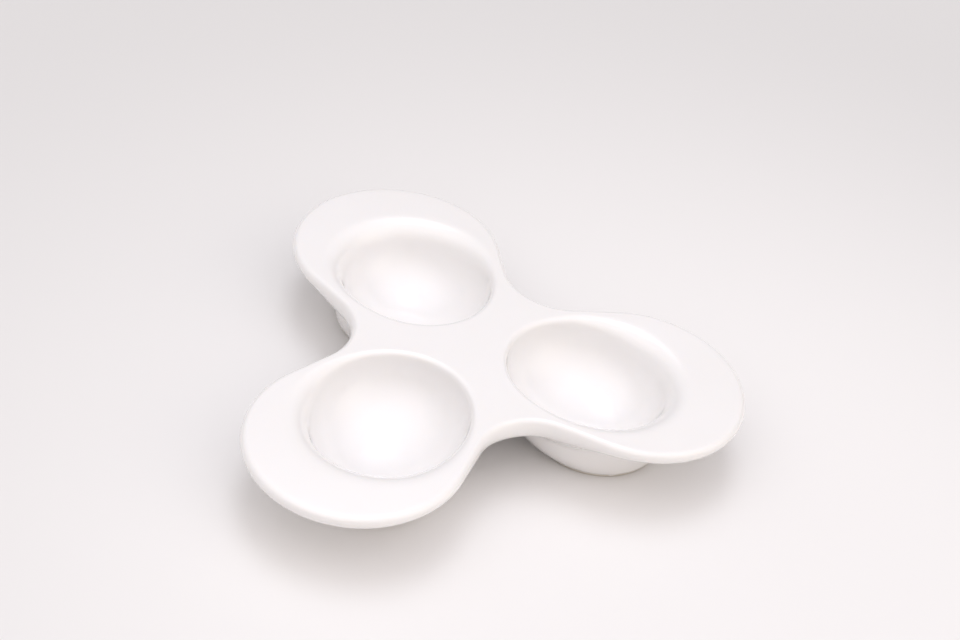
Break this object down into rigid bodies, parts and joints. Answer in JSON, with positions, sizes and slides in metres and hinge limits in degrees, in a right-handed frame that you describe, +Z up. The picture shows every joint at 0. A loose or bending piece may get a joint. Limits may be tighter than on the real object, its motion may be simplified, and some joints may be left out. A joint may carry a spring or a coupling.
{
  "type": "tapas dish",
  "caption": "Low trefoil serving dish in white glazed porcelain, with an oval bowl hung under each lobe and a flat foot ring under each bowl.",
  "frame": {"origin": "middle of the dish's footprint box, on the table", "axes": "+Z up from the table; +X along one lobe; the other lobes point 120 degrees either side of it, so +Y runs across them"},
  "size_m": [0.2308, 0.2502, 0.0394],
  "materials": {
    "glaze": "clear gloss glaze over white porcelain",
    "bisque": "unglazed, ground matt"
  },
  "bodies": {
    "root": {"trefoil_plate": "glaze", "bowl_right": "glaze", "bowl_back": "glaze", "bowl_front": "glaze", "foot_ring_right": "bisque", "foot_ring_back": "bisque", "foot_ring_front": "bisque"}
  },
  "joints": []
}
